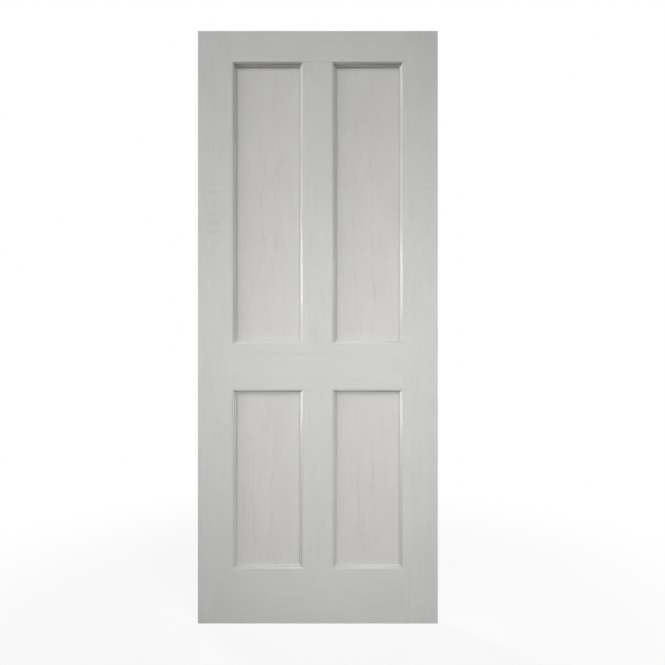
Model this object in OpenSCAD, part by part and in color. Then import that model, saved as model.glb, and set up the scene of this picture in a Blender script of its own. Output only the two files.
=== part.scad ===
// Four-panel interior door leaf, framed in stiles, rails and muntins with beaded flat panels.
// The leaf stands upright: X runs across it, Y through its thickness and Z up from its bottom edge.

/* [Leaf] */
// Height of the leaf
leaf_h = 2040; // [1900:1:2200]
// Width of the leaf
leaf_w = 826; // [700:1:950]
// Thickness of the stiles, rails and muntins
leaf_t = 40; // [35:0.5:54]
// Radius of the sanded arris along the outer edges of the leaf
arris_r = 1.5; // [0.5:0.1:3]

/* [Frame] */
// Face width of each stile
stile_w = 119; // [95:1:140]
// Face width of both muntins
muntin_w = 100; // [90:1:140]
// Face height of the top rail
top_rail_h = 107; // [95:1:140]
// Face height of the lock rail
lock_rail_h = 158; // [150:1:220]
// Face height of the bottom rail
bottom_rail_h = 188; // [120:1:260]
// Height of the lower panel openings
lower_opening_h = 617; // [400:1:800]

/* [Panels] */
// Thickness of the flat panels
panel_t = 12; // [9:0.5:16]
// Depth of the groove along the inner edges of the frame
groove_d = 10; // [8:0.5:12]
// Gap on each face of a panel or tongue in its groove
groove_play = 0.1; // [0.05:0.05:0.3]
// Gap between the edge of a panel and the bottom of its groove
panel_edge_play = 2; // [1:0.5:4]
// Gap between the end of a tongue and the bottom of its groove
tongue_end_play = 0.5; // [0.2:0.1:2]

/* [Beads] */
// Width of a bead across the face
bead_w = 12.5; // [12:0.5:20]
// Depth of the top of a bead below the face of the frame
bead_set_back = 2; // [1:0.5:3]
// Width of the flat along the outer edge of a bead
bead_top_flat = 1.5; // [1:0.5:2.5]
// Radius of the round at the top of the ogee
bead_round_r = 4.5; // [3.5:0.5:5]
// Radius of the hollow at the foot of the ogee
bead_hollow_r = 4; // [3:0.5:4.5]

/* [Dowels] */
// Diameter of a dowel
dowel_d = 16; // [12:1:18]
// Length of a dowel
dowel_l = 125; // [100:5:140]
// Distance between neighbouring dowels
dowel_pitch = 50; // [40:1:55]
// Gap round a dowel in its bore
dowel_play = 0.1; // [0.05:0.05:0.3]
// Gap beyond each end of a dowel
dowel_end_play = 2; // [1:0.5:4]
// Chamfer on the ends of a dowel
dowel_chamfer = 1.5; // [0.5:0.5:3]
// Dowels at each end of the top rail
top_rail_dowels_n = 2; // [1:1:2]
// Dowels at each end of the lock rail
lock_rail_dowels_n = 3; // [1:1:3]
// Dowels at each end of the bottom rail
bottom_rail_dowels_n = 3; // [1:1:3]
// Dowels at each end of a muntin
muntin_dowels_n = 2; // [1:1:2]

/* [Hidden] */
$fn = 96;
// A cut runs this far past the surface that it opens
overcut = 1;

// Levels of the rails and openings above the bottom edge
lock_rail_z = bottom_rail_h + lower_opening_h;
upper_opening_z = lock_rail_z + lock_rail_h;
top_rail_z = leaf_h - top_rail_h;
upper_opening_h = top_rail_z - upper_opening_z;

// Places across the leaf
shoulder_x = leaf_w / 2 - stile_w;
rail_l = 2 * shoulder_x;
opening_w = shoulder_x - muntin_w / 2;
opening_x = (shoulder_x + muntin_w / 2) / 2;

// The panels and the tongues share one groove
groove_w = panel_t + 2 * groove_play;
tongue_l = groove_d - tongue_end_play;
panel_reach = groove_d - panel_edge_play;

// Height of a bead off the panel, and of the middle of its ogee
bead_h = (leaf_t - panel_t) / 2 - bead_set_back;
bead_ogee_v = bead_h - bead_round_r;
bead_ogee_w = bead_round_r + bead_hollow_r;

// Bores are centred on the shoulders that they cross
bore_d = dowel_d + 2 * dowel_play;
bore_l = dowel_l + 2 * dowel_end_play;

// Each rail: level, height, grooved below, grooved above, dowels at each end
top_rail_data = [top_rail_z, top_rail_h, true, false, top_rail_dowels_n];
lock_rail_data = [lock_rail_z, lock_rail_h, true, true, lock_rail_dowels_n];
bottom_rail_data = [0, bottom_rail_h, false, true, bottom_rail_dowels_n];

// Each muntin: level of its lower shoulder and length between shoulders
upper_muntin_data = [upper_opening_z, upper_opening_h];
lower_muntin_data = [bottom_rail_h, lower_opening_h];

// Each opening: name, centre across, level of its lower edge, height
openings = [
    ["upper_left", -opening_x, upper_opening_z, upper_opening_h],
    ["upper_right", opening_x, upper_opening_z, upper_opening_h],
    ["lower_left", -opening_x, bottom_rail_h, lower_opening_h],
    ["lower_right", opening_x, bottom_rail_h, lower_opening_h]
];
faces = ["front", "back"];
// Each side of an opening: name and turn from the bottom side
sides = [["bottom", 0], ["left", 90], ["top", 180], ["right", 270]];

frame_colour = "#cdcdca";
panel_colour = "#c4c2c0";
bead_colour = "#c9c8c5";
dowel_colour = "#d2b48c";

function panel_name(opening) = str(opening[0], "_panel");
function bead_name(opening, face, side) = str(opening[0], "_", face, "_", side[0], "_bead");
function mid_x(opening) = opening[1];
function mid_z(opening) = opening[2] + opening[3] / 2;
function opening_h(opening) = opening[3];
function turn(side) = side[1];
function is_upright(side) = turn(side) % 180 != 0;

// Lower and upper level of a rail or muntin
function low_z(piece) = piece[0];
function high_z(piece) = piece[0] + piece[1];
function grooved_below(rail) = rail[2];
function grooved_above(rail) = rail[3];
function end_dowels_n(rail) = rail[4];
// Levels of the ungrooved height of a rail, and its middle
function core_low_z(rail) = low_z(rail) + (grooved_below(rail) ? groove_d : 0);
function core_high_z(rail) = high_z(rail) - (grooved_above(rail) ? groove_d : 0);
function core_mid_z(rail) = (core_low_z(rail) + core_high_z(rail)) / 2;
// Places of n dowels about the middle of a joint
function dowel_row(n) = [for (i = [0 : n - 1]) (i - (n - 1) / 2) * dowel_pitch];

// Draws its children along X at each dowel of both ends of a rail
module at_rail_dowels(rail) {
    for (end_x = [-shoulder_x, shoulder_x], along = dowel_row(end_dowels_n(rail)))
        translate([end_x, 0, core_mid_z(rail) + along])
            rotate([0, 90, 0])
                children();
}

// Draws its children along Z at each dowel of a muntin shoulder
module at_muntin_dowels(shoulder_z) {
    for (along = dowel_row(muntin_dowels_n))
        translate([along, 0, shoulder_z])
            children();
}

module dowel_bore() {
    cylinder(h = bore_l, d = bore_d, center = true);
}

module dowel() {
    straight_l = dowel_l - 2 * dowel_chamfer;
    tip_d = dowel_d - 2 * dowel_chamfer;
    translate([0, 0, -dowel_l / 2])
        rotate_extrude()
            polygon([
                [0, 0],
                [tip_d / 2, 0],
                [dowel_d / 2, dowel_chamfer],
                [dowel_d / 2, dowel_chamfer + straight_l],
                [tip_d / 2, dowel_l],
                [0, dowel_l]
            ]);
}

// A lengthwise cut through the whole leaf, with rounded arrises at its four corners
module leaf_outline(length) {
    inner_l = length - 2 * arris_r;
    inner_t = leaf_t - 2 * arris_r;
    square([length, inner_t], center = true);
    square([inner_l, leaf_t], center = true);
    for (x = [-inner_l / 2, inner_l / 2], y = [-inner_t / 2, inner_t / 2])
        translate([x, y])
            circle(r = arris_r);
}

// Side view of the leaf, standing on its bottom edge
module leaf_side() {
    translate([0, leaf_h / 2])
        rotate(90)
            leaf_outline(leaf_h);
}

// Extrudes a section drawn across the leaf and up along X
module along_rail(length) {
    rotate([90, 0, 90])
        linear_extrude(length, center = true)
            children();
}

// Plan of the left stile, with its groove
module stile_section() {
    difference() {
        intersection() {
            leaf_outline(leaf_w);
            translate([-leaf_w / 2, -leaf_t / 2])
                square([stile_w, leaf_t]);
        }
        translate([-shoulder_x - groove_d, -groove_w / 2])
            square([groove_d + overcut, groove_w]);
    }
}

module left_stile() {
    color(frame_colour)
        difference() {
            intersection() {
                linear_extrude(leaf_h)
                    stile_section();
                along_rail(leaf_w + 2 * overcut)
                    leaf_side();
            }
            for (rail = [top_rail_data, lock_rail_data, bottom_rail_data])
                at_rail_dowels(rail)
                    dowel_bore();
        }
}

module right_stile() {
    mirror([1, 0, 0])
        left_stile();
}

// Section of a rail with a groove along each edge that meets panels
module rail_section(rail) {
    difference() {
        intersection() {
            leaf_side();
            translate([-leaf_t / 2, low_z(rail)])
                square([leaf_t, high_z(rail) - low_z(rail)]);
        }
        if (grooved_below(rail))
            translate([-groove_w / 2, low_z(rail) - overcut])
                square([groove_w, groove_d + overcut]);
        if (grooved_above(rail))
            translate([-groove_w / 2, core_high_z(rail)])
                square([groove_w, groove_d + overcut]);
    }
}

// Section of the tongues, which stop at the rail's own grooves
module rail_tongue_section(rail) {
    translate([-panel_t / 2, core_low_z(rail)])
        square([panel_t, core_high_z(rail) - core_low_z(rail)]);
}

module grooved_rail(rail) {
    color(frame_colour)
        difference() {
            union() {
                along_rail(rail_l)
                    rail_section(rail);
                along_rail(rail_l + 2 * tongue_l)
                    rail_tongue_section(rail);
            }
            at_rail_dowels(rail)
                dowel_bore();
            if (grooved_below(rail))
                at_muntin_dowels(low_z(rail))
                    dowel_bore();
            if (grooved_above(rail))
                at_muntin_dowels(high_z(rail))
                    dowel_bore();
        }
}

// Plan of a muntin with a groove along both edges
module muntin_section() {
    difference() {
        square([muntin_w, leaf_t], center = true);
        for (turn = [0, 180])
            rotate(turn)
                translate([muntin_w / 2 - groove_d, -groove_w / 2])
                    square([groove_d + overcut, groove_w]);
    }
}

module grooved_muntin(muntin) {
    body_l = high_z(muntin) - low_z(muntin);
    color(frame_colour)
        difference() {
            union() {
                translate([0, 0, low_z(muntin)])
                    linear_extrude(body_l)
                        muntin_section();
                translate([0, 0, low_z(muntin) - tongue_l])
                    linear_extrude(body_l + 2 * tongue_l)
                        square([muntin_w - 2 * groove_d, panel_t], center = true);
            }
            at_muntin_dowels(low_z(muntin))
                dowel_bore();
            at_muntin_dowels(high_z(muntin))
                dowel_bore();
        }
}

module rail_dowels(rail) {
    color(dowel_colour)
        at_rail_dowels(rail)
            dowel();
}

module muntin_dowels(muntin) {
    color(dowel_colour) {
        at_muntin_dowels(low_z(muntin))
            dowel();
        at_muntin_dowels(high_z(muntin))
            dowel();
    }
}

module flat_panel(opening) {
    panel_w = opening_w + 2 * panel_reach;
    panel_h = opening_h(opening) + 2 * panel_reach;
    color(panel_colour)
        translate([mid_x(opening), panel_t / 2, mid_z(opening)])
            rotate([90, 0, 0])
                linear_extrude(panel_t)
                    square([panel_w, panel_h], center = true);
}

// Bead section: across the face from the frame's edge, and up from the panel
module bead_section() {
    square([bead_w, bead_ogee_v - bead_hollow_r]);
    square([bead_top_flat, bead_h]);
    intersection() {
        translate([bead_top_flat, bead_ogee_v])
            circle(r = bead_round_r);
        translate([bead_top_flat / 2, bead_ogee_v])
            square([bead_w, bead_round_r]);
    }
    difference() {
        square([bead_top_flat + bead_ogee_w, bead_ogee_v]);
        translate([bead_top_flat + bead_ogee_w, bead_ogee_v])
            circle(r = bead_hollow_r);
    }
}

// A bead of the bottom side, front face, mitred to its length along the frame's edge
module mitred_bead(length) {
    outer_half = length / 2 + overcut;
    inner_half = length / 2 - bead_w - overcut;
    intersection() {
        rotate([180, -90, 0])
            linear_extrude(length, center = true)
                bead_section();
        rotate([90, 0, 0])
            translate([0, 0, -overcut])
                linear_extrude(bead_h + 2 * overcut)
                    polygon([
                        [-outer_half, -overcut],
                        [outer_half, -overcut],
                        [inner_half, bead_w + overcut],
                        [-inner_half, bead_w + overcut]
                    ]);
    }
}

module bead(opening, face, side) {
    length = is_upright(side) ? opening_h(opening) : opening_w;
    edge_offset = (is_upright(side) ? opening_w : opening_h(opening)) / 2;
    color(bead_colour)
        translate([mid_x(opening), 0, mid_z(opening)])
            mirror([0, face == "back" ? 1 : 0, 0])
                rotate([0, turn(side), 0])
                    translate([0, -panel_t / 2, -edge_offset])
                        mitred_bead(length);
}

left_stile();
right_stile();
grooved_rail(top_rail_data);  // top_rail
grooved_rail(lock_rail_data);  // lock_rail
grooved_rail(bottom_rail_data);  // bottom_rail
grooved_muntin(upper_muntin_data);  // upper_muntin
grooved_muntin(lower_muntin_data);  // lower_muntin
for (opening = openings)
    flat_panel(opening);
for (opening = openings, face = faces, side = sides)
    bead(opening, face, side);
rail_dowels(top_rail_data);  // top_rail_dowels
rail_dowels(lock_rail_data);  // lock_rail_dowels
rail_dowels(bottom_rail_data);  // bottom_rail_dowels
muntin_dowels(upper_muntin_data);  // upper_muntin_dowels
muntin_dowels(lower_muntin_data);  // lower_muntin_dowels
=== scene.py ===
import bpy
import bmesh
import math
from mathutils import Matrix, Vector


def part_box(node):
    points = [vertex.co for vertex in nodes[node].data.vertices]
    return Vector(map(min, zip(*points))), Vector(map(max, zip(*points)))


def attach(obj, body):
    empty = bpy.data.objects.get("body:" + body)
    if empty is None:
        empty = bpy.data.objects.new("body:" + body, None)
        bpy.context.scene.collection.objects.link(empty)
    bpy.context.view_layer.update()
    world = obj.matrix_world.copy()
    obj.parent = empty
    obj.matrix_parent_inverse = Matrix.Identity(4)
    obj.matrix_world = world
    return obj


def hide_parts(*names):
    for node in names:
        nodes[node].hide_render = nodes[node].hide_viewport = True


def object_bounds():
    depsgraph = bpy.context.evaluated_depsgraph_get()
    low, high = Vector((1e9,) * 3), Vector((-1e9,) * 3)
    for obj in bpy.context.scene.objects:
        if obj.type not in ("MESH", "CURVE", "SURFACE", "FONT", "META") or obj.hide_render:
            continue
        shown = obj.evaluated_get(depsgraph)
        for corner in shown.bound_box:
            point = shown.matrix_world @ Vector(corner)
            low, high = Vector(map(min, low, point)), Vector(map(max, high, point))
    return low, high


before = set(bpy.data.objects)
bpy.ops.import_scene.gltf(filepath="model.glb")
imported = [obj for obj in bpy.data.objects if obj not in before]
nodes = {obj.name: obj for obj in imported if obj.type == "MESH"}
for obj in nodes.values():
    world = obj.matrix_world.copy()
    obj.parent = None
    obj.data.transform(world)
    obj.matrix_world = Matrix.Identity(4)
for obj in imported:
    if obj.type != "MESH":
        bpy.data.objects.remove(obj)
cadLow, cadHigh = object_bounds()
print("door leaf loaded:", len(nodes), "nodes")

halfThick = cadHigh.y
leafWidth = cadHigh.x - cadLow.x
leafHeight = cadHigh.z - cadLow.z
nearly = 1e-5


# camera, square on to the leaf; the pixels are the leaf's outline in the photograph
photoView = {
    "pixels": 665,
    "leafLeft": 197.74,
    "leafRight": 437.84,
    "leafTop": 30.94,
    "leafBottom": 623.65,
    "distance": 2.05,       # from the front face, read from how the bead widths change
    "sensor": 36.0,
}


def makeCamera(view):
    across = leafWidth / (view["leafRight"] - view["leafLeft"])
    upward = leafHeight / (view["leafBottom"] - view["leafTop"])
    pixelSize = (across + upward) / 2
    middle = view["pixels"] / 2
    data = bpy.data.cameras.new("photoCamera")
    data.sensor_width = view["sensor"]
    data.lens = view["sensor"] * view["distance"] / (view["pixels"] * pixelSize)
    camera = bpy.data.objects.new("photoCamera", data)
    camera.location = (
        (middle - (view["leafLeft"] + view["leafRight"]) / 2) * pixelSize,
        -halfThick - view["distance"],
        (view["leafBottom"] - middle) * pixelSize,
    )
    camera.rotation_euler = (math.radians(90), 0, 0)
    bpy.context.scene.collection.objects.link(camera)
    bpy.context.scene.camera = camera
    print("camera at", [round(c, 3) for c in camera.location], "lens", round(data.lens, 2))


makeCamera(photoView)


# node helpers
def addNode(tree, kind, inputs=None, **settings):
    node = tree.nodes.new("ShaderNode" + kind)
    for key, value in settings.items():
        setattr(node, key, value)
    for key, value in (inputs or {}).items():
        if isinstance(value, bpy.types.NodeSocket):
            tree.links.new(value, node.inputs[key])
        else:
            node.inputs[key].default_value = value
    return node


def calc(tree, operation, *values):
    node = addNode(tree, "Math", dict(enumerate(values)), operation=operation)
    return node.outputs[0]


def ramp(tree, value, low, high, start=0.0, end=1.0):
    node = addNode(
        tree, "MapRange",
        {"Value": value, "From Min": low, "From Max": high, "To Min": start, "To Max": end},
        interpolation_type="SMOOTHSTEP",
    )
    return node.outputs["Result"]


def newGroup(name, inputs, outputs):
    tree = bpy.data.node_groups.new(name, "ShaderNodeTree")
    for label, kind, default in inputs:
        socket = tree.interface.new_socket(label, in_out="INPUT", socket_type="NodeSocket" + kind)
        if default is not None:
            socket.default_value = default
    for label, kind in outputs:
        tree.interface.new_socket(label, in_out="OUTPUT", socket_type="NodeSocket" + kind)
    return tree, tree.nodes.new("NodeGroupInput").outputs, tree.nodes.new("NodeGroupOutput").inputs


def stretchedNoise(tree, vector, scale, detail=2.0, roughness=0.5):
    scaled = addNode(tree, "VectorMath", {0: vector, 1: scale}, operation="MULTIPLY")
    noise = addNode(
        tree, "TexNoise",
        {"Vector": scaled.outputs[0], "Scale": 1.0, "Detail": detail, "Roughness": roughness},
    )
    return noise.outputs["Fac"]


# flat-sawn board figure: broken rings, flecks, fibres, pores, a few veins and curl across the grain
grainScales = {
    "drift": (7.0, 7.0, 1.5),        # slow wander of the rings, per metre
    "waver": (34.0, 34.0, 9.0),
    "break": (30.0, 30.0, 8.0),
    "patch": (17.0, 17.0, 6.0),
    "fleck": (230.0, 230.0, 24.0),
    "fibre": (330.0, 330.0, 9.0),
    "streak": (80.0, 80.0, 9.0),
    "pore": (900.0, 900.0, 42.0),
    "mottle": (12.0, 12.0, 7.0),
    "veinWander": (1.5, 1.5, 5.5),
    "curlBend": (14.0, 14.0, 18.0),
    "curlBreak": (45.0, 45.0, 60.0),
    "waverReach": 0.010,
    "ringDecay": 3.0,
    "breakLow": 0.46,
    "breakHigh": 0.64,
    "patchFloor": 0.1,
    "fleckLow": 0.52,
    "fleckHigh": 0.66,
    "poreLow": 0.60,
    "poreHigh": 0.68,
    "poreFloor": 0.25,               # share of the pores that stay off the rings
    "poreRing": 0.8,
    "veinReach": 0.075,
    "veinHalf": 0.0038,
    "veinFloor": 0.3,
    "fadeStart": 0.3,                # veins and curl fade from here to the end of their reach
    "curlPitch": 0.028,
    "curlLow": 0.0,
    "curlHigh": 1.0,
    "curlArch": 8.0,
    "curlWander": 0.05,
    "curlHalf": 0.042,
    "curlCore": 0.1,
    "curlBreakLow": 0.36,
    "curlBreakHigh": 0.54,
    "curlFloor": 0.15,
}


def makeGrainGroup(g):
    tree, given, wanted = newGroup(
        "boardGrain",
        [("Vector", "Vector", None), ("Seed", "Float", 0.0), ("Pith Across", "Float", 0.0),
         ("Pith Depth", "Float", 0.05), ("Ring Width", "Float", 0.012), ("Taper", "Float", 0.03),
         ("Drift", "Float", 0.02), ("Vein", "Float", 0.0), ("Vein Across", "Float", 0.0),
         ("Vein Apart", "Float", 0.06), ("Vein Level", "Float", 0.0), ("Vein Reach", "Float", 0.2),
         ("Curl", "Float", 0.0), ("Curl Across", "Float", 0.0), ("Curl Level", "Float", 0.0),
         ("Curl Reach", "Float", 0.15)],
        [("Ring", "Float"), ("Fleck", "Float"), ("Fibre", "Float"), ("Streak", "Float"),
         ("Pore", "Float"), ("Mottle", "Float"), ("Vein", "Float"), ("Curl", "Float")],
    )
    shift = addNode(tree, "CombineXYZ", {axis: given["Seed"] for axis in "XYZ"}).outputs[0]
    moved = addNode(tree, "VectorMath", {0: given["Vector"], 1: shift}, operation="ADD").outputs[0]
    place = addNode(tree, "SeparateXYZ", {"Vector": given["Vector"]}).outputs

    def swing(scale):
        return calc(tree, "SUBTRACT", stretchedNoise(tree, moved, scale, 2.0), 0.5)

    def fadeFrom(level, reach):
        away = calc(tree, "ABSOLUTE", calc(tree, "SUBTRACT", place["Z"], level))
        return ramp(tree, calc(tree, "DIVIDE", away, reach), g["fadeStart"], 1.0, 1.0, 0.0)

    across = calc(tree, "SUBTRACT", place["X"], given["Pith Across"])
    across = calc(tree, "MULTIPLY_ADD", swing(g["drift"]), given["Drift"], across)
    across = calc(tree, "MULTIPLY_ADD", swing(g["waver"]), g["waverReach"], across)
    radius = calc(tree, "SQRT", calc(tree, "ADD", calc(tree, "MULTIPLY", across, across),
                                     calc(tree, "MULTIPLY", given["Pith Depth"], given["Pith Depth"])))
    radius = calc(tree, "SUBTRACT", radius, calc(tree, "MULTIPLY", place["Z"], given["Taper"]))
    phase = calc(tree, "FRACT", calc(tree, "DIVIDE", radius, given["Ring Width"]))
    ring = calc(tree, "POWER", calc(tree, "SUBTRACT", 1.0, phase), g["ringDecay"])
    whole = ramp(tree, stretchedNoise(tree, moved, g["break"], 2.0), g["breakLow"], g["breakHigh"])
    ring = calc(tree, "MULTIPLY", ring, whole)

    patch = stretchedNoise(tree, moved, g["patch"], 2.0)
    patch = ramp(tree, patch, g["breakLow"], g["breakHigh"], g["patchFloor"], 1.0)
    fleck = ramp(tree, stretchedNoise(tree, moved, g["fleck"], 2.0, 0.6), g["fleckLow"], g["fleckHigh"])
    fleck = calc(tree, "MULTIPLY", fleck, patch)
    fibre = stretchedNoise(tree, moved, g["fibre"], 3.0, 0.6)
    streak = stretchedNoise(tree, moved, g["streak"], 3.0, 0.55)
    pore = ramp(tree, stretchedNoise(tree, moved, g["pore"], 1.0), g["poreLow"], g["poreHigh"])
    pore = calc(tree, "MULTIPLY", pore, ramp(tree, ring, 0.0, g["poreRing"], g["poreFloor"], 1.0))
    mottle = stretchedNoise(tree, moved, g["mottle"], 2.0)

    # a pair of veins on either side of a line that wanders up the board
    beside = calc(tree, "SUBTRACT", place["X"], given["Vein Across"])
    beside = calc(tree, "MULTIPLY_ADD", swing(g["veinWander"]), g["veinReach"], beside)
    halfApart = calc(tree, "MULTIPLY", given["Vein Apart"], 0.5)
    beside = calc(tree, "SUBTRACT", calc(tree, "ABSOLUTE", beside), halfApart)
    beside = calc(tree, "MULTIPLY_ADD", swing(g["waver"]), g["waverReach"], beside)
    vein = ramp(tree, calc(tree, "ABSOLUTE", beside), 0.0, g["veinHalf"], 1.0, 0.0)
    shown = calc(tree, "MULTIPLY_ADD", whole, 1 - g["veinFloor"], g["veinFloor"])
    vein = calc(tree, "MULTIPLY", vein, shown)
    vein = calc(tree, "MULTIPLY", vein, calc(tree, "MULTIPLY", given["Vein"],
                                             fadeFrom(given["Vein Level"], given["Vein Reach"])))

    offset = calc(tree, "SUBTRACT", place["X"], given["Curl Across"])
    arch = calc(tree, "MULTIPLY_ADD", calc(tree, "MULTIPLY", offset, offset), g["curlArch"], place["Z"])
    arch = calc(tree, "MULTIPLY_ADD", swing(g["curlBend"]), g["curlWander"], arch)
    wave = calc(tree, "SINE", calc(tree, "MULTIPLY", arch, 2 * math.pi / g["curlPitch"]))
    wave = ramp(tree, wave, g["curlLow"], g["curlHigh"])
    column = calc(tree, "ABSOLUTE", offset)
    column = ramp(tree, column, g["curlCore"] * g["curlHalf"], g["curlHalf"], 1.0, 0.0)
    kept = stretchedNoise(tree, moved, g["curlBreak"], 2.0)
    kept = ramp(tree, kept, g["curlBreakLow"], g["curlBreakHigh"], g["curlFloor"], 1.0)
    curl = calc(tree, "MULTIPLY", calc(tree, "MULTIPLY", wave, column), kept)
    curl = calc(tree, "MULTIPLY", curl, calc(tree, "MULTIPLY", given["Curl"],
                                             fadeFrom(given["Curl Level"], given["Curl Reach"])))

    for label, value in (("Ring", ring), ("Fleck", fleck), ("Fibre", fibre), ("Streak", streak),
                         ("Pore", pore), ("Mottle", mottle), ("Vein", vein), ("Curl", curl)):
        tree.links.new(value, wanted[label])
    return tree


# paint film over the grain: how far each part of the figure shows as tone, relief and gloss, and how far
# the painted shade in the creases darkens the paint
paintFilm = {
    "ringTone": 0.030,
    "fleckTone": 0.032,
    "fibreTone": 0.035,
    "streakTone": 0.060,
    "poreTone": 0.080,
    "mottleTone": 0.090,
    "veinTone": 0.080,
    "curlTone": 0.065,
    # painted shade in the creases where the side and top beads meet the panels
    "creaseTone": 0.25,
    "ringRelief": 0.20,
    "fleckRelief": 0.20,
    "fibreRelief": 0.20,
    "poreRelief": 0.60,
    "veinRelief": 0.50,
    "curlRelief": 0.60,
    "fibreRoughness": 0.10,
    "poreRoughness": 0.12,
    "roughness": 0.48,
    "index": 1.48,
    "bumpStrength": 0.25,
    "bumpDepth": 0.0004,
}


def makeFilmGroup(f):
    tree, given, wanted = newGroup(
        "paintFilm",
        [("Paint", "Color", (0.6, 0.6, 0.585, 1.0)), ("Ring", "Float", 0.0), ("Fleck", "Float", 0.0),
         ("Fibre", "Float", 0.5), ("Streak", "Float", 0.5), ("Pore", "Float", 0.0),
         ("Mottle", "Float", 0.5), ("Vein", "Float", 0.0), ("Curl", "Float", 0.0),
         ("Crease", "Float", 0.0), ("Gloss Loss", "Float", f["roughness"])],
        [("Color", "Color"), ("Roughness", "Float"), ("Height", "Float")],
    )
    fibre = calc(tree, "SUBTRACT", given["Fibre"], 0.5)
    streak = calc(tree, "SUBTRACT", given["Streak"], 0.5)
    mottle = calc(tree, "SUBTRACT", given["Mottle"], 0.5)
    tone = 1.0
    # the crease input darkens the paint as painted shade
    for value, share in ((given["Ring"], -f["ringTone"]), (given["Fleck"], -f["fleckTone"]),
                         (given["Pore"], -f["poreTone"]), (given["Vein"], -f["veinTone"]),
                         (given["Curl"], -f["curlTone"]), (given["Crease"], -f["creaseTone"]),
                         (fibre, f["fibreTone"]), (streak, f["streakTone"]), (mottle, f["mottleTone"])):
        tone = calc(tree, "MULTIPLY_ADD", value, share, tone)
    colour = addNode(tree, "VectorMath", {0: given["Paint"], "Scale": tone}, operation="SCALE").outputs[0]

    height = 0.0
    for value, share in ((given["Ring"], -f["ringRelief"]), (given["Fleck"], -f["fleckRelief"]),
                         (given["Pore"], -f["poreRelief"]), (given["Vein"], -f["veinRelief"]),
                         (given["Curl"], -f["curlRelief"]), (fibre, f["fibreRelief"])):
        height = calc(tree, "MULTIPLY_ADD", value, share, height)

    rough = calc(tree, "MULTIPLY_ADD", fibre, f["fibreRoughness"], given["Gloss Loss"])
    rough = calc(tree, "MULTIPLY_ADD", given["Pore"], f["poreRoughness"], rough)
    tree.links.new(colour, wanted["Color"])
    tree.links.new(height, wanted["Height"])
    tree.links.new(rough, wanted["Roughness"])
    return tree


grainGroup = makeGrainGroup(grainScales)
filmGroup = makeFilmGroup(paintFilm)


def boardVector(tree, where, lengthwise):
    if lengthwise == "z":
        return where
    turned = addNode(tree, "Mapping", {"Vector": where, "Rotation": (0, math.radians(90), 0)})
    return turned.outputs["Vector"]


def makePainted(name, paint, grain, lengthwise="z", roughness=paintFilm["roughness"],
                index=paintFilm["index"], crease=None):
    material = bpy.data.materials.new(name)
    material.use_nodes = True
    tree = material.node_tree
    shader = tree.nodes["Principled BSDF"]
    where = addNode(tree, "TexCoord").outputs["Object"]
    vector = boardVector(tree, where, lengthwise)
    board = addNode(tree, "Group", {"Vector": vector, **grain}, node_tree=grainGroup)
    film = addNode(tree, "Group", {"Paint": (*paint, 1.0), "Gloss Loss": roughness}, node_tree=filmGroup)
    # painted shade along the creases, when a mask is given
    if crease:
        place = addNode(tree, "SeparateXYZ", {"Vector": where}).outputs
        tree.links.new(crease(tree, place), film.inputs["Crease"])
    for output in board.outputs:
        tree.links.new(output, film.inputs[output.name])
    bump = addNode(
        tree, "Bump",
        {"Height": film.outputs["Height"], "Strength": paintFilm["bumpStrength"],
         "Distance": paintFilm["bumpDepth"]},
    )
    tree.links.new(film.outputs["Color"], shader.inputs["Base Color"])
    tree.links.new(film.outputs["Roughness"], shader.inputs["Roughness"])
    tree.links.new(bump.outputs["Normal"], shader.inputs["Normal"])
    shader.inputs["IOR"].default_value = index
    return material


# stiles, rails and muntins: merged copies of the solids, with eased edges round the openings
frameParts = {
    "paint": (0.610, 0.606, 0.590),
    "openingEase": 0.0006,
    "shoulderEase": 0.00012,
    "steps": 3,
    "sharp": math.radians(30),
    "smooth": math.radians(25),
}
frameGrain = {
    "left_stile": {"Seed": 3.1, "Pith Across": -0.42, "Pith Depth": 0.05, "Ring Width": 0.011,
                   "Taper": 0.012, "Drift": 0.03, "Curl": 1.0, "Curl Across": -0.358, "Curl Level": 1.41,
                   "Curl Reach": 0.18},
    "right_stile": {"Seed": 7.7, "Pith Across": 0.30, "Pith Depth": 0.06, "Ring Width": 0.012,
                    "Taper": 0.010, "Drift": 0.03, "Curl": 0.7, "Curl Across": 0.366, "Curl Level": 1.51,
                    "Curl Reach": 0.12},
    "upper_muntin": {"Seed": 11.3, "Pith Across": 0.03, "Pith Depth": 0.07, "Ring Width": 0.012,
                     "Taper": 0.02, "Drift": 0.03},
    "lower_muntin": {"Seed": 14.9, "Pith Across": -0.05, "Pith Depth": 0.06, "Ring Width": 0.012,
                     "Taper": 0.02, "Drift": 0.03},
    "top_rail": {"Seed": 19.2, "Pith Across": 1.98, "Pith Depth": 0.08, "Ring Width": 0.014,
                 "Taper": 0.03, "Drift": 0.05},
    "lock_rail": {"Seed": 23.8, "Pith Across": 0.86, "Pith Depth": 0.08, "Ring Width": 0.014,
                  "Taper": 0.02, "Drift": 0.05},
    "bottom_rail": {"Seed": 28.4, "Pith Across": 0.06, "Pith Depth": 0.07, "Ring Width": 0.014,
                    "Taper": 0.04, "Drift": 0.07},
}


def camel(nodeName):
    first, *rest = nodeName.split("_")
    return first + "".join(word.capitalize() for word in rest)


def mergedCopy(nodeName):
    mesh = bmesh.new()
    mesh.from_mesh(nodes[nodeName].data)
    bmesh.ops.remove_doubles(mesh, verts=mesh.verts, dist=1e-6)
    bmesh.ops.dissolve_limit(mesh, angle_limit=math.radians(0.1), verts=mesh.verts, edges=mesh.edges)
    return mesh


def cutAt(mesh, axis, places):
    for place in places:
        along = Vector((axis == "x", axis == "y", axis == "z"))
        bmesh.ops.bisect_plane(
            mesh, geom=[*mesh.verts, *mesh.edges, *mesh.faces], plane_co=along * place, plane_no=along
        )


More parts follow.
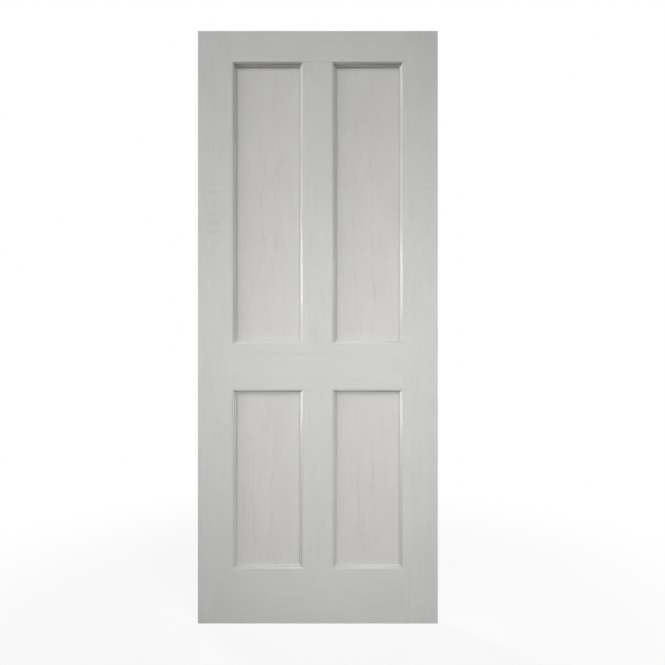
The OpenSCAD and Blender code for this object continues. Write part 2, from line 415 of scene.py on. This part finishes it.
def ease(mesh, width, picked):
    edges = [e for e in mesh.edges if e.calc_face_angle(0.0) > frameParts["sharp"] and picked(e)]
    bmesh.ops.bevel(
        mesh, geom=edges, offset=width, offset_type="OFFSET", affect="EDGES",
        segments=frameParts["steps"], profile=0.5, material=-1, clamp_overlap=True,
    )


def finishPiece(mesh, nodeName, material):
    data = bpy.data.meshes.new(camel(nodeName))
    mesh.to_mesh(data)
    mesh.free()
    data.shade_smooth()
    data.set_sharp_from_angle(angle=frameParts["smooth"])
    data.materials.append(material)
    piece = bpy.data.objects.new(camel(nodeName), data)
    bpy.context.scene.collection.objects.link(piece)
    even = piece.modifiers.new("evenNormals", "WEIGHTED_NORMAL")
    even.keep_sharp = True
    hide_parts(nodeName)
    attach(piece, "root")


railNames = ["top_rail", "lock_rail", "bottom_rail"]
muntinNames = ["upper_muntin", "lower_muntin"]
stileNames = ["left_stile", "right_stile"]
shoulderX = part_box("left_stile")[1].x
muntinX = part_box("upper_muntin")[1].x
openingLevels = [
    (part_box("bottom_rail")[1].z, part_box("lock_rail")[0].z),
    (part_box("lock_rail")[1].z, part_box("top_rail")[0].z),
]


def allAt(edge, axis, value):
    return all(abs(abs(v.co[axis]) - value) < nearly for v in edge.verts)


def onFace(edge):
    return allAt(edge, 1, halfThick)


def inOpeningLevels(edge):
    low, high = sorted(v.co.z for v in edge.verts)
    return any(low > a - nearly and high < b + nearly for a, b in openingLevels)


def besideOpening(edge):
    left, right = sorted(abs(v.co.x) for v in edge.verts)
    return left > muntinX - nearly and right < abs(shoulderX) + nearly


def makeStile(nodeName):
    mesh = mergedCopy(nodeName)
    cutAt(mesh, "z", [level for pair in openingLevels for level in pair])
    ease(mesh, frameParts["openingEase"],
         lambda e: onFace(e) and inOpeningLevels(e) and allAt(e, 0, abs(shoulderX)))
    return mesh


def makeRail(nodeName):
    mesh = mergedCopy(nodeName)
    cutAt(mesh, "x", [-muntinX, muntinX])
    levels = [level for pair in openingLevels for level in pair]
    ease(mesh, frameParts["openingEase"],
         lambda e: onFace(e) and besideOpening(e) and any(allAt(e, 2, level) for level in levels))
    ease(mesh, frameParts["shoulderEase"], lambda e: onFace(e) and allAt(e, 0, abs(shoulderX)))
    return mesh


def makeMuntin(nodeName):
    mesh = mergedCopy(nodeName)
    ease(mesh, frameParts["openingEase"], lambda e: onFace(e) and allAt(e, 0, muntinX))
    return mesh


for nodeName in stileNames + railNames + muntinNames:
    make = makeStile if nodeName in stileNames else makeRail if nodeName in railNames else makeMuntin
    lengthwise = "x" if nodeName in railNames else "z"
    finish = makePainted(camel(nodeName) + "Paint", frameParts["paint"], frameGrain[nodeName], lengthwise)
    finishPiece(make(nodeName), nodeName, finish)
print("frame made:", len(frameGrain), "pieces")


# flat panels keep their solids
# crease: width of the painted shade along the bead line on the panels
panelParts = {"paint": (0.608, 0.600, 0.583), "crease": 0.0030}
panelGrain = {
    "upper_left_panel": {"Seed": 33.0, "Pith Across": -0.165, "Pith Depth": 0.045, "Ring Width": 0.012,
                         "Taper": 0.045, "Drift": 0.07, "Vein": 1.2, "Vein Across": -0.165,
                         "Vein Apart": 0.05, "Vein Level": 1.40, "Vein Reach": 0.36},
    "upper_right_panel": {"Seed": 37.6, "Pith Across": 0.165, "Pith Depth": 0.045, "Ring Width": 0.013,
                          "Taper": 0.045, "Drift": 0.07, "Vein": 1.6, "Vein Across": 0.160,
                          "Vein Apart": 0.06, "Vein Level": 1.39, "Vein Reach": 0.50},
    "lower_left_panel": {"Seed": 41.2, "Pith Across": -0.19, "Pith Depth": 0.05, "Ring Width": 0.012,
                         "Taper": 0.02, "Drift": 0.05, "Vein": 1.4, "Vein Across": -0.185,
                         "Vein Apart": 0.07, "Vein Level": 0.46, "Vein Reach": 0.30},
    "lower_right_panel": {"Seed": 46.5, "Pith Across": 0.19, "Pith Depth": 0.05, "Ring Width": 0.012,
                          "Taper": 0.03, "Drift": 0.05, "Vein": 1.6, "Vein Across": 0.175,
                          "Vein Apart": 0.05, "Vein Level": 0.44, "Vein Reach": 0.30},
}


def panelCreaseShade(nodeName):
    # painted shade: darker paint along the line where the side and top beads meet the panel, where shade
    # falls in the crease
    opening = nodeName.removesuffix("_panel") + "_front_"
    left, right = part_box(opening + "left_bead")[1].x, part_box(opening + "right_bead")[0].x
    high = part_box(opening + "top_bead")[0].z

    def mask(tree, place):
        away = calc(tree, "ABSOLUTE", calc(tree, "SUBTRACT", place["X"], (left + right) / 2))
        aside = calc(tree, "SUBTRACT", away, (right - left) / 2)
        above = calc(tree, "SUBTRACT", place["Z"], high)
        edge = calc(tree, "ABSOLUTE", calc(tree, "MAXIMUM", aside, above))
        return ramp(tree, edge, 0.0, panelParts["crease"], 1.0, 0.0)

    return mask


for nodeName, grain in panelGrain.items():
    finish = makePainted(camel(nodeName) + "Paint", panelParts["paint"], grain,
                         crease=panelCreaseShade(nodeName))
    nodes[nodeName].data.materials.clear()
    nodes[nodeName].data.materials.append(finish)
print("panels finished:", len(panelGrain))


# mitred beads: merged copies with softened quirks
beadParts = {
    "paint": (0.610, 0.606, 0.590),
    "lockRailPaint": (0.565, 0.561, 0.546),     # beads that stand on the lock rail: paint darkened as painted shade
    "ease": 0.0005,
    "roughness": 0.18,
    "index": 1.58,
    # crease: height over the panel up to which the side and top beads get painted shade
    "crease": 0.0055,
    "grain": {"Pith Across": 0.0, "Pith Depth": 0.3, "Ring Width": 0.009, "Taper": 0.01, "Drift": 0.02},
}
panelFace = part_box("upper_left_panel")[1].y


# painted shade: the beads' paint darkens towards the panel, where shade falls in the crease
def beadCreaseShade(tree, place):
    above = calc(tree, "SUBTRACT", calc(tree, "ABSOLUTE", place["Y"]), panelFace)
    return ramp(tree, above, 0.0, beadParts["crease"], 1.0, 0.0)


def makeBeadPaint(name, seed, lengthwise, crease=beadCreaseShade, paint=beadParts["paint"]):
    return makePainted(name, paint, {"Seed": seed, **beadParts["grain"]}, lengthwise,
                       beadParts["roughness"], beadParts["index"], crease)


uprightBeadPaint = makeBeadPaint("uprightBeadPaint", 51.0, "z")
beadPaints = {
    "left": uprightBeadPaint,
    "right": uprightBeadPaint,
    "top": makeBeadPaint("topBeadPaint", 57.0, "x"),
    "bottom": makeBeadPaint("bottomBeadPaint", 63.0, "x", None),
    # the beads on the lock rail get darker paint as painted shade
    "lockRail": makeBeadPaint("lockRailBeadPaint", 69.0, "x", None, beadParts["lockRailPaint"]),
}


def touchesSeat(edge, low, high, nodeName):
    # edges on the panel and on the frame's own edge stay square
    side = nodeName.split("_")[-2]
    seatY = high.y if "_front_" in nodeName else low.y
    seatAt = {"left": (0, low.x), "right": (0, high.x), "bottom": (2, low.z), "top": (2, high.z)}
    axis, value = seatAt[side]
    onPanel = all(abs(v.co.y - seatY) < nearly for v in edge.verts)
    onFrame = all(abs(v.co[axis] - value) < nearly for v in edge.verts)
    return onPanel or onFrame


def makeBead(nodeName, upright):
    mesh = mergedCopy(nodeName)
    low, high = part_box(nodeName)
    lengthAxis = 2 if upright else 0
    reach = 0.5 * (high[lengthAxis] - low[lengthAxis])

    def lengthwiseOutside(edge):
        a, b = (v.co for v in edge.verts)
        isLong = abs(a[lengthAxis] - b[lengthAxis]) > reach
        return isLong and edge.is_convex and not touchesSeat(edge, low, high, nodeName)

    ease(mesh, beadParts["ease"], lengthwiseOutside)
    return mesh


beadNames = [name for name in nodes if name.endswith("_bead")]
for nodeName in beadNames:
    side = nodeName.split("_")[-2]
    # bottom beads of the upper openings stand on the lock rail and take the darker painted-shade paint
    finish = beadPaints["lockRail" if side == "bottom" and nodeName.startswith("upper_") else side]
    finishPiece(makeBead(nodeName, side in ("left", "right")), nodeName, finish)
print("beads made:", len(beadNames))


# beech dowels inside the joints
dowelParts = {
    "light": (0.62, 0.44, 0.26),
    "dark": (0.46, 0.30, 0.16),
    "roughness": 0.7,
    "seed": 61.0,
    "ringWidth": 0.003,
}


def makeBeech(name, wood, lengthwise):
    material = bpy.data.materials.new(name)
    material.use_nodes = True
    tree = material.node_tree
    shader = tree.nodes["Principled BSDF"]
    vector = boardVector(tree, addNode(tree, "TexCoord").outputs["Object"], lengthwise)
    board = addNode(
        tree, "Group",
        {"Vector": vector, "Seed": wood["seed"], "Ring Width": wood["ringWidth"]},
        node_tree=grainGroup,
    )
    colour = addNode(tree, "Mix", {"Factor": board.outputs["Streak"]}, data_type="RGBA")
    colour.inputs["A"].default_value = (*wood["dark"], 1.0)
    colour.inputs["B"].default_value = (*wood["light"], 1.0)
    tree.links.new(colour.outputs["Result"], shader.inputs["Base Color"])
    shader.inputs["Roughness"].default_value = wood["roughness"]
    return material


dowelNames = [name for name in nodes if name.endswith("_dowels")]
for nodeName in dowelNames:
    lengthwise = "x" if "_rail_" in nodeName else "z"
    nodes[nodeName].data.materials.clear()
    nodes[nodeName].data.materials.append(makeBeech(camel(nodeName) + "Beech", dowelParts, lengthwise))
print("dowels finished:", len(dowelNames))


# pale floor that reads white to the camera, clears to white further out and keeps the leaf's shadow
floorParts = {
    "size": 12.0,
    "bounce": (0.3, 0.3, 0.3),      # for the light it throws back
    "seen": (0.8, 0.8, 0.8),        # for what the camera sees
    "nearGlow": 0.86,
    "clearFrom": 0.5,
    "clearTo": 1.9,
}


def seenDirectly(tree):
    path = addNode(tree, "LightPath").outputs
    seen = calc(tree, "MAXIMUM", path["Is Camera Ray"], path["Is Glossy Ray"])
    return calc(tree, "MAXIMUM", seen, path["Is Transmission Ray"])


def makeFloor(parts):
    mesh = bmesh.new()
    bmesh.ops.create_grid(mesh, x_segments=1, y_segments=1, size=parts["size"] / 2)
    data = bpy.data.meshes.new("floor")
    mesh.to_mesh(data)
    mesh.free()
    floor = bpy.data.objects.new("floor", data)
    bpy.context.scene.collection.objects.link(floor)
    material = bpy.data.materials.new("paleFloor")
    material.use_nodes = True
    tree = material.node_tree
    tree.nodes.remove(tree.nodes["Principled BSDF"])
    bounce = addNode(tree, "BsdfDiffuse", {"Color": (*parts["bounce"], 1.0)})
    seen = addNode(tree, "BsdfDiffuse", {"Color": (*parts["seen"], 1.0)})
    glow = addNode(tree, "Emission", {"Color": (1, 1, 1, 1), "Strength": 1.0})
    where = addNode(tree, "TexCoord").outputs["Object"]
    spread = addNode(tree, "VectorMath", {0: where}, operation="LENGTH").outputs["Value"]
    clear = ramp(tree, spread, parts["clearFrom"], parts["clearTo"], parts["nearGlow"], 1.0)
    pale = addNode(tree, "MixShader", {0: clear, 1: seen.outputs[0], 2: glow.outputs[0]})
    mixed = addNode(tree, "MixShader", {0: seenDirectly(tree), 1: bounce.outputs[0], 2: pale.outputs[0]})
    tree.links.new(mixed.outputs[0], tree.nodes["Material Output"].inputs["Surface"])
    data.materials.append(material)


makeFloor(floorParts)


# white surround for what is seen directly, and a dim one for the light it gives
surround = {"white": 1.0, "ambient": 0.08}


def makeSurround(parts):
    world = bpy.data.worlds.new("surround")
    bpy.context.scene.world = world
    world.use_nodes = True
    tree = world.node_tree
    background = tree.nodes["Background"]
    background.inputs["Color"].default_value = (1, 1, 1, 1)
    strength = addNode(
        tree, "MapRange",
        {"Value": seenDirectly(tree), "To Min": parts["ambient"], "To Max": parts["white"]},
    )
    tree.links.new(strength.outputs["Result"], background.inputs["Strength"])


makeSurround(surround)


# soft studio lamps on a ring round the leaf's middle; each pool of light fades out over the leaf
lampRing = {"centre": (0.0, 0.0, 1.0), "radius": 5.0, "softness": 0.7}
lamps = {
    "farLeftLamp": {"azimuth": -75, "elevation": 3, "aim": (0.4, 1.45), "pool": 1.7, "power": 400.0},
    "leftLamp": {"azimuth": -50, "elevation": 0, "aim": (0.2, 0.95), "pool": 0.9, "power": 375.0},
    "highLeftLamp": {"azimuth": -50, "elevation": 45, "aim": (-0.4, 1.9), "pool": 1.7, "power": 300.0},
    "frontLamp": {"azimuth": 0, "elevation": 5, "aim": (0.0, 0.1), "pool": 0.9, "power": 175.0},
    "lowRightLamp": {"azimuth": 25, "elevation": 25, "aim": (-0.4, 0.1), "pool": 1.7, "power": 300.0},
    "rightLamp": {"azimuth": 38, "elevation": 5, "aim": (0.4, 0.72), "pool": 1.7, "power": 250.0},
    "overheadLamp": {"azimuth": 30, "elevation": 60, "aim": (0.4, 1.9), "pool": 1.7, "power": 150.0},
    "topLamp": {"azimuth": 0, "elevation": 60, "aim": (0.0, 1.9), "pool": 1.7, "power": 150.0},
    "backLeftLamp": {"azimuth": -140, "elevation": 40, "aim": (0.0, 1.3), "pool": 1.7, "power": 700.0},
    "backRightLamp": {"azimuth": 150, "elevation": 15, "aim": (0.0, 0.8), "pool": 1.7, "power": 550.0},
    "edgeLamp": {"azimuth": 105, "elevation": 10, "aim": (0.4, 1.5), "pool": 1.7, "power": 300.0},
}


def makeLamp(name, parts, ring):
    data = bpy.data.lights.new(name, "SPOT")
    data.energy = parts["power"]
    data.shadow_soft_size = ring["softness"]
    data.spot_blend = 1.0
    data.spot_size = 2 * math.atan(parts["pool"] / ring["radius"])
    azimuth, elevation = math.radians(parts["azimuth"]), math.radians(parts["elevation"])
    outward = Vector((
        math.sin(azimuth) * math.cos(elevation),
        -math.cos(azimuth) * math.cos(elevation),
        math.sin(elevation),
    ))
    lamp = bpy.data.objects.new(name, data)
    lamp.location = Vector(ring["centre"]) + outward * ring["radius"]
    aim = Vector((parts["aim"][0], ring["centre"][1], parts["aim"][1]))
    lamp.rotation_euler = (aim - lamp.location).to_track_quat("-Z", "Y").to_euler()
    bpy.context.scene.collection.objects.link(lamp)


for name, parts in lamps.items():
    makeLamp(name, parts, lampRing)
bpy.context.scene.view_settings.view_transform = "Standard"
print("stage lit by", len(lamps), "lamps")
